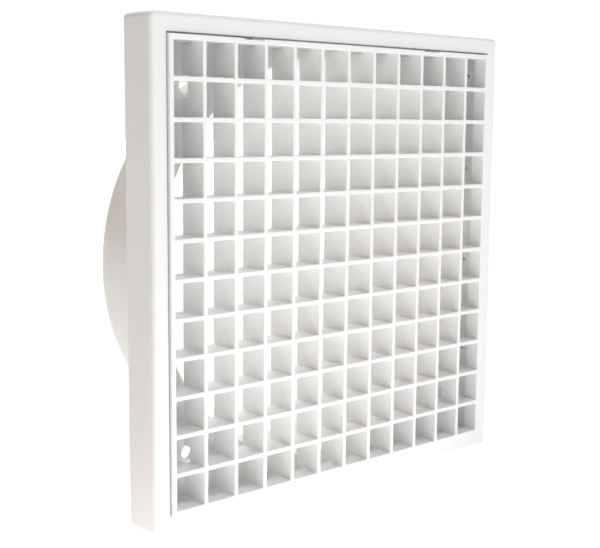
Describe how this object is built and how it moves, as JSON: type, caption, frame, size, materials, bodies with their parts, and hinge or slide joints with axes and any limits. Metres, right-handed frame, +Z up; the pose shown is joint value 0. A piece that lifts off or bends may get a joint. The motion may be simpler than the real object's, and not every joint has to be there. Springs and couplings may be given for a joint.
{
  "type": "ventilation grille",
  "caption": "Square egg-crate ventilation grille with a round duct spigot; the egg-crate insert pushes into the wall body and pulls out forwards.",
  "frame": {"origin": "middle of the four wall-screw holes, on the wall plane behind the body", "axes": "+Z up, -Y out of the wall into the room, +X to the right as seen from the room"},
  "size_m": [0.167, 0.0465, 0.167],
  "materials": {
    "body_plastic": "white moulded plastic, satin gloss, faint moulding texture",
    "insert_plastic": "white moulded plastic, satin gloss"
  },
  "bodies": {
    "wall_body": {"wall_body": "body_plastic"},
    "insert": {"egg_crate_insert": "insert_plastic"}
  },
  "joints": [
    {"name": "insert_pull", "type": "slide", "parent": "wall_body", "child": "insert", "axis": [0, -1, 0], "range_m": [0, 0.03]}
  ]
}
